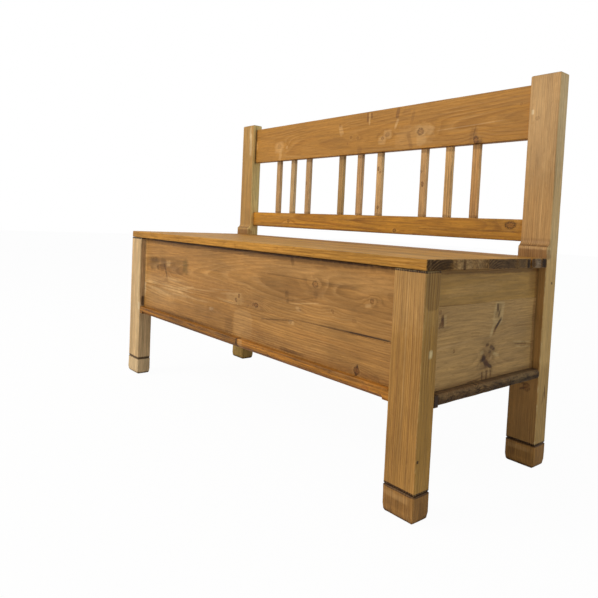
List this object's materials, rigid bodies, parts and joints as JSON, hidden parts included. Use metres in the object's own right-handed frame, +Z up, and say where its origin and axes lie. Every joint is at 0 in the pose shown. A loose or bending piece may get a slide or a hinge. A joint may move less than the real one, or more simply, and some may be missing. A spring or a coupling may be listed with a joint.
{
  "type": "pull out bench bed",
  "caption": "Old pine bench with a lidded seat box and a low spindle back; the front half pulls forward on two legs to widen the box into a bed.",
  "frame": {"origin": "on the floor, under the middle of the bench", "axes": "+X along the bench to the sitter's left, as seen from the front to the right; -Y is the front, +Y the back rest; +Z up"},
  "size_m": [1.202, 0.45, 0.855],
  "materials": {
    "waxed_pine": "old pine, stripped and waxed, honey brown with knots",
    "seat_pine": "old pine, waxed and worn, dark at the end grain",
    "foot_pine": "newer pine blocks, waxed, dirty at the floor",
    "raw_pine": "old unfinished pine",
    "hinge_iron": "dark wrought iron, slightly rusted"
  },
  "bodies": {
    "frame": {"back_post_left": "waxed_pine", "back_post_right": "waxed_pine", "back_foot_left": "foot_pine", "back_foot_right": "foot_pine", "top_rail": "waxed_pine", "lower_back_rail": "waxed_pine", "spindle_1": "waxed_pine", "spindle_2": "waxed_pine", "spindle_3": "waxed_pine", "spindle_4": "waxed_pine", "spindle_5": "waxed_pine", "spindle_6": "waxed_pine", "spindle_7": "waxed_pine", "spindle_8": "waxed_pine", "spindle_9": "waxed_pine", "hinge_board": "seat_pine", "back_board_upper": "raw_pine", "back_board_lower": "raw_pine", "inner_side_left": "raw_pine", "inner_side_right": "raw_pine", "corner_cleat_left": "raw_pine", "corner_cleat_right": "raw_pine", "bottom_board_front": "waxed_pine", "bottom_board_rear": "waxed_pine", "bottom_ledger": "raw_pine", "hinge_left_seat_leaf": "hinge_iron", "hinge_right_seat_leaf": "hinge_iron", "hinge_left_pin": "hinge_iron", "hinge_right_pin": "hinge_iron", "hinge_screws_seat": "hinge_iron"},
    "pull_out": {"front_leg_left": "waxed_pine", "front_leg_right": "waxed_pine", "front_foot_left": "foot_pine", "front_foot_right": "foot_pine", "front_board_lower": "waxed_pine", "front_board_upper": "waxed_pine", "sill_left": "waxed_pine", "sill_right": "waxed_pine", "side_left_lower": "waxed_pine", "side_left_upper": "waxed_pine", "side_right_lower": "waxed_pine", "side_right_upper": "waxed_pine", "runner_left": "raw_pine", "runner_right": "raw_pine", "slat_1": "raw_pine", "slat_2": "raw_pine", "slat_3": "raw_pine", "slat_4": "raw_pine", "slat_5": "raw_pine", "slat_6": "raw_pine", "slat_tie_rail": "raw_pine"},
    "lid": {"lid_board_front": "seat_pine", "lid_board_rear": "seat_pine", "lid_batten_left": "raw_pine", "lid_batten_right": "raw_pine", "hinge_left_lid_leaf": "hinge_iron", "hinge_right_lid_leaf": "hinge_iron", "hinge_screws_lid": "hinge_iron", "batten_screws": "hinge_iron"}
  },
  "joints": [
    {"name": "pull_slide", "type": "slide", "parent": "frame", "child": "pull_out", "axis": [0, -1, 0], "range_m": [0, 0.27]},
    {"name": "lid_hinge", "type": "hinge", "parent": "frame", "child": "lid", "pos_m": [0, 0.116, 0.457], "axis": [-1, 0, 0], "range_deg": [0, 101.5]}
  ]
}
